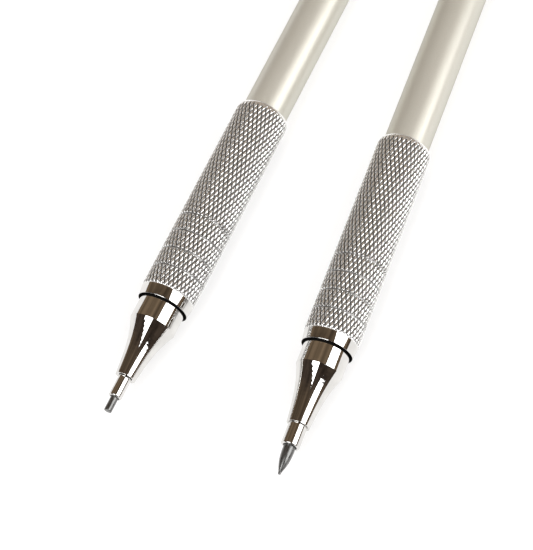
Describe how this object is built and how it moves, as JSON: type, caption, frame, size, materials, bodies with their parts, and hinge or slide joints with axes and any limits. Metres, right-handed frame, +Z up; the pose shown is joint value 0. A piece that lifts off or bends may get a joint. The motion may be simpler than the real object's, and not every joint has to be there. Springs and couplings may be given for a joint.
{
  "type": "drafting pencil pair",
  "caption": "Pair of all-metal drafting pencils with knurled grips, stepped chrome noses, satin barrels, clips and push caps, one with a fine blunt lead and one with a broad sharpened lead.",
  "frame": {"origin": "on the surface that the pencils lie on, under the middle of the pair's box", "axes": "+Y from the tips towards the caps, along the line halfway between the pencils, +Z up, +X towards the broad pencil"},
  "size_m": [0.0378, 0.1475, 0.01],
  "materials": {
    "chrome": "polished chrome plate",
    "knurled_chrome": "chrome plate over diamond knurl",
    "satin_barrel": "fine satin, warm silver",
    "brass": "turned",
    "spring_steel": "drawn wire",
    "rubber": "matt",
    "tube_plastic": "satin",
    "eraser": "matt",
    "graphite": "semi-metallic sheen"
  },
  "bodies": {
    "fine_body": {"fine_grip": "knurled_chrome", "fine_barrel": "satin_barrel", "fine_mechanism_sleeve": "brass", "fine_chuck_spring": "spring_steel", "fine_clip_collar": "chrome"},
    "fine_nose": {"fine_nose_cone": "chrome", "fine_guide_pipe": "chrome", "fine_lead_retainer": "rubber"},
    "fine_lead_body": {"fine_lead": "graphite"},
    "fine_press_body": {"fine_chuck": "brass", "fine_lead_tube": "tube_plastic", "fine_spare_leads": "graphite"},
    "fine_clutch_body": {"fine_clutch_ring": "brass"},
    "fine_plug_body": {"fine_eraser_holder": "chrome", "fine_eraser": "eraser"},
    "fine_cap_body": {"fine_push_cap": "chrome"},
    "fine_clip_body": {"fine_clip": "chrome"},
    "broad_body": {"broad_grip": "knurled_chrome", "broad_barrel": "satin_barrel", "broad_mechanism_sleeve": "brass", "broad_chuck_spring": "spring_steel", "broad_clip_collar": "chrome"},
    "broad_nose": {"broad_nose_cone": "chrome", "broad_guide_pipe": "chrome", "broad_lead_retainer": "rubber"},
    "broad_lead_body": {"broad_lead": "graphite"},
    "broad_press_body": {"broad_chuck": "brass", "broad_lead_tube": "tube_plastic", "broad_spare_lead": "graphite"},
    "broad_clutch_body": {"broad_clutch_ring": "brass"},
    "broad_plug_body": {"broad_eraser_holder": "chrome", "broad_eraser": "eraser"},
    "broad_cap_body": {"broad_push_cap": "chrome"},
    "broad_clip_body": {"broad_clip": "chrome"}
  },
  "joints": [
    {"name": "fine_nose_unscrew", "type": "slide", "parent": "fine_body", "child": "fine_nose", "axis": [-0.0372, -0.9993, 0], "range_m": [0, 0.034]},
    {"name": "fine_lead_feed", "type": "slide", "parent": "fine_body", "child": "fine_lead_body", "axis": [-0.0372, -0.9993, 0], "range_m": [-0.0026, 0.006]},
    {"name": "fine_push", "type": "slide", "parent": "fine_body", "child": "fine_press_body", "axis": [-0.0372, -0.9993, 0], "range_m": [0, 0.0035], "stiffness_N_per_m": 600, "springref_m": -0.002, "deforming": ["fine_chuck_spring"]},
    {"name": "fine_clutch", "type": "slide", "parent": "fine_body", "child": "fine_clutch_body", "axis": [-0.0372, -0.9993, 0], "range_m": [0, 0.00105]},
    {"name": "fine_plug_pull", "type": "slide", "parent": "fine_press_body", "child": "fine_plug_body", "axis": [0.0372, 0.9993, 0], "range_m": [0, 0.012]},
    {"name": "fine_cap_pull", "type": "slide", "parent": "fine_plug_body", "child": "fine_cap_body", "axis": [0.0372, 0.9993, 0], "range_m": [0, 0.02]},
    {"name": "fine_clip_open", "type": "hinge", "parent": "fine_body", "child": "fine_clip_body", "pos_m": [-0.01588, 0.05367, 0.00744], "axis": [-0.4223, 0.0157, -0.9063], "range_deg": [0, 4.5], "stiffness_Nm_per_rad": 0.6},
    {"name": "broad_pencil_lift", "type": "slide", "parent": "fine_body", "child": "broad_body", "axis": [0, 0, 1], "range_m": [0, 0.06]},
    {"name": "broad_nose_unscrew", "type": "slide", "parent": "broad_body", "child": "broad_nose", "axis": [0.0372, -0.9993, 0], "range_m": [0, 0.034]},
    {"name": "broad_lead_feed", "type": "slide", "parent": "broad_body", "child": "broad_lead_body", "axis": [0.0372, -0.9993, 0], "range_m": [-0.005, 0.006]},
    {"name": "broad_push", "type": "slide", "parent": "broad_body", "child": "broad_press_body", "axis": [0.0372, -0.9993, 0], "range_m": [0, 0.0035], "stiffness_N_per_m": 600, "springref_m": -0.002, "deforming": ["broad_chuck_spring"]},
    {"name": "broad_clutch", "type": "slide", "parent": "broad_body", "child": "broad_clutch_body", "axis": [0.0372, -0.9993, 0], "range_m": [0, 0.00105]},
    {"name": "broad_plug_pull", "type": "slide", "parent": "broad_press_body", "child": "broad_plug_body", "axis": [-0.0372, 0.9993, 0], "range_m": [0, 0.012]},
    {"name": "broad_cap_pull", "type": "slide", "parent": "broad_plug_body", "child": "broad_cap_body", "axis": [-0.0372, 0.9993, 0], "range_m": [0, 0.02]},
    {"name": "broad_clip_open", "type": "hinge", "parent": "broad_body", "child": "broad_clip_body", "pos_m": [0.01588, 0.05627, 0.00744], "axis": [-0.4223, -0.0157, 0.9063], "range_deg": [0, 4.5], "stiffness_Nm_per_rad": 0.6}
  ],
  "couplings": [
    {"joint": "fine_clutch", "follows": "fine_push", "ratio": 0.3},
    {"joint": "broad_clutch", "follows": "broad_push", "ratio": 0.3}
  ]
}
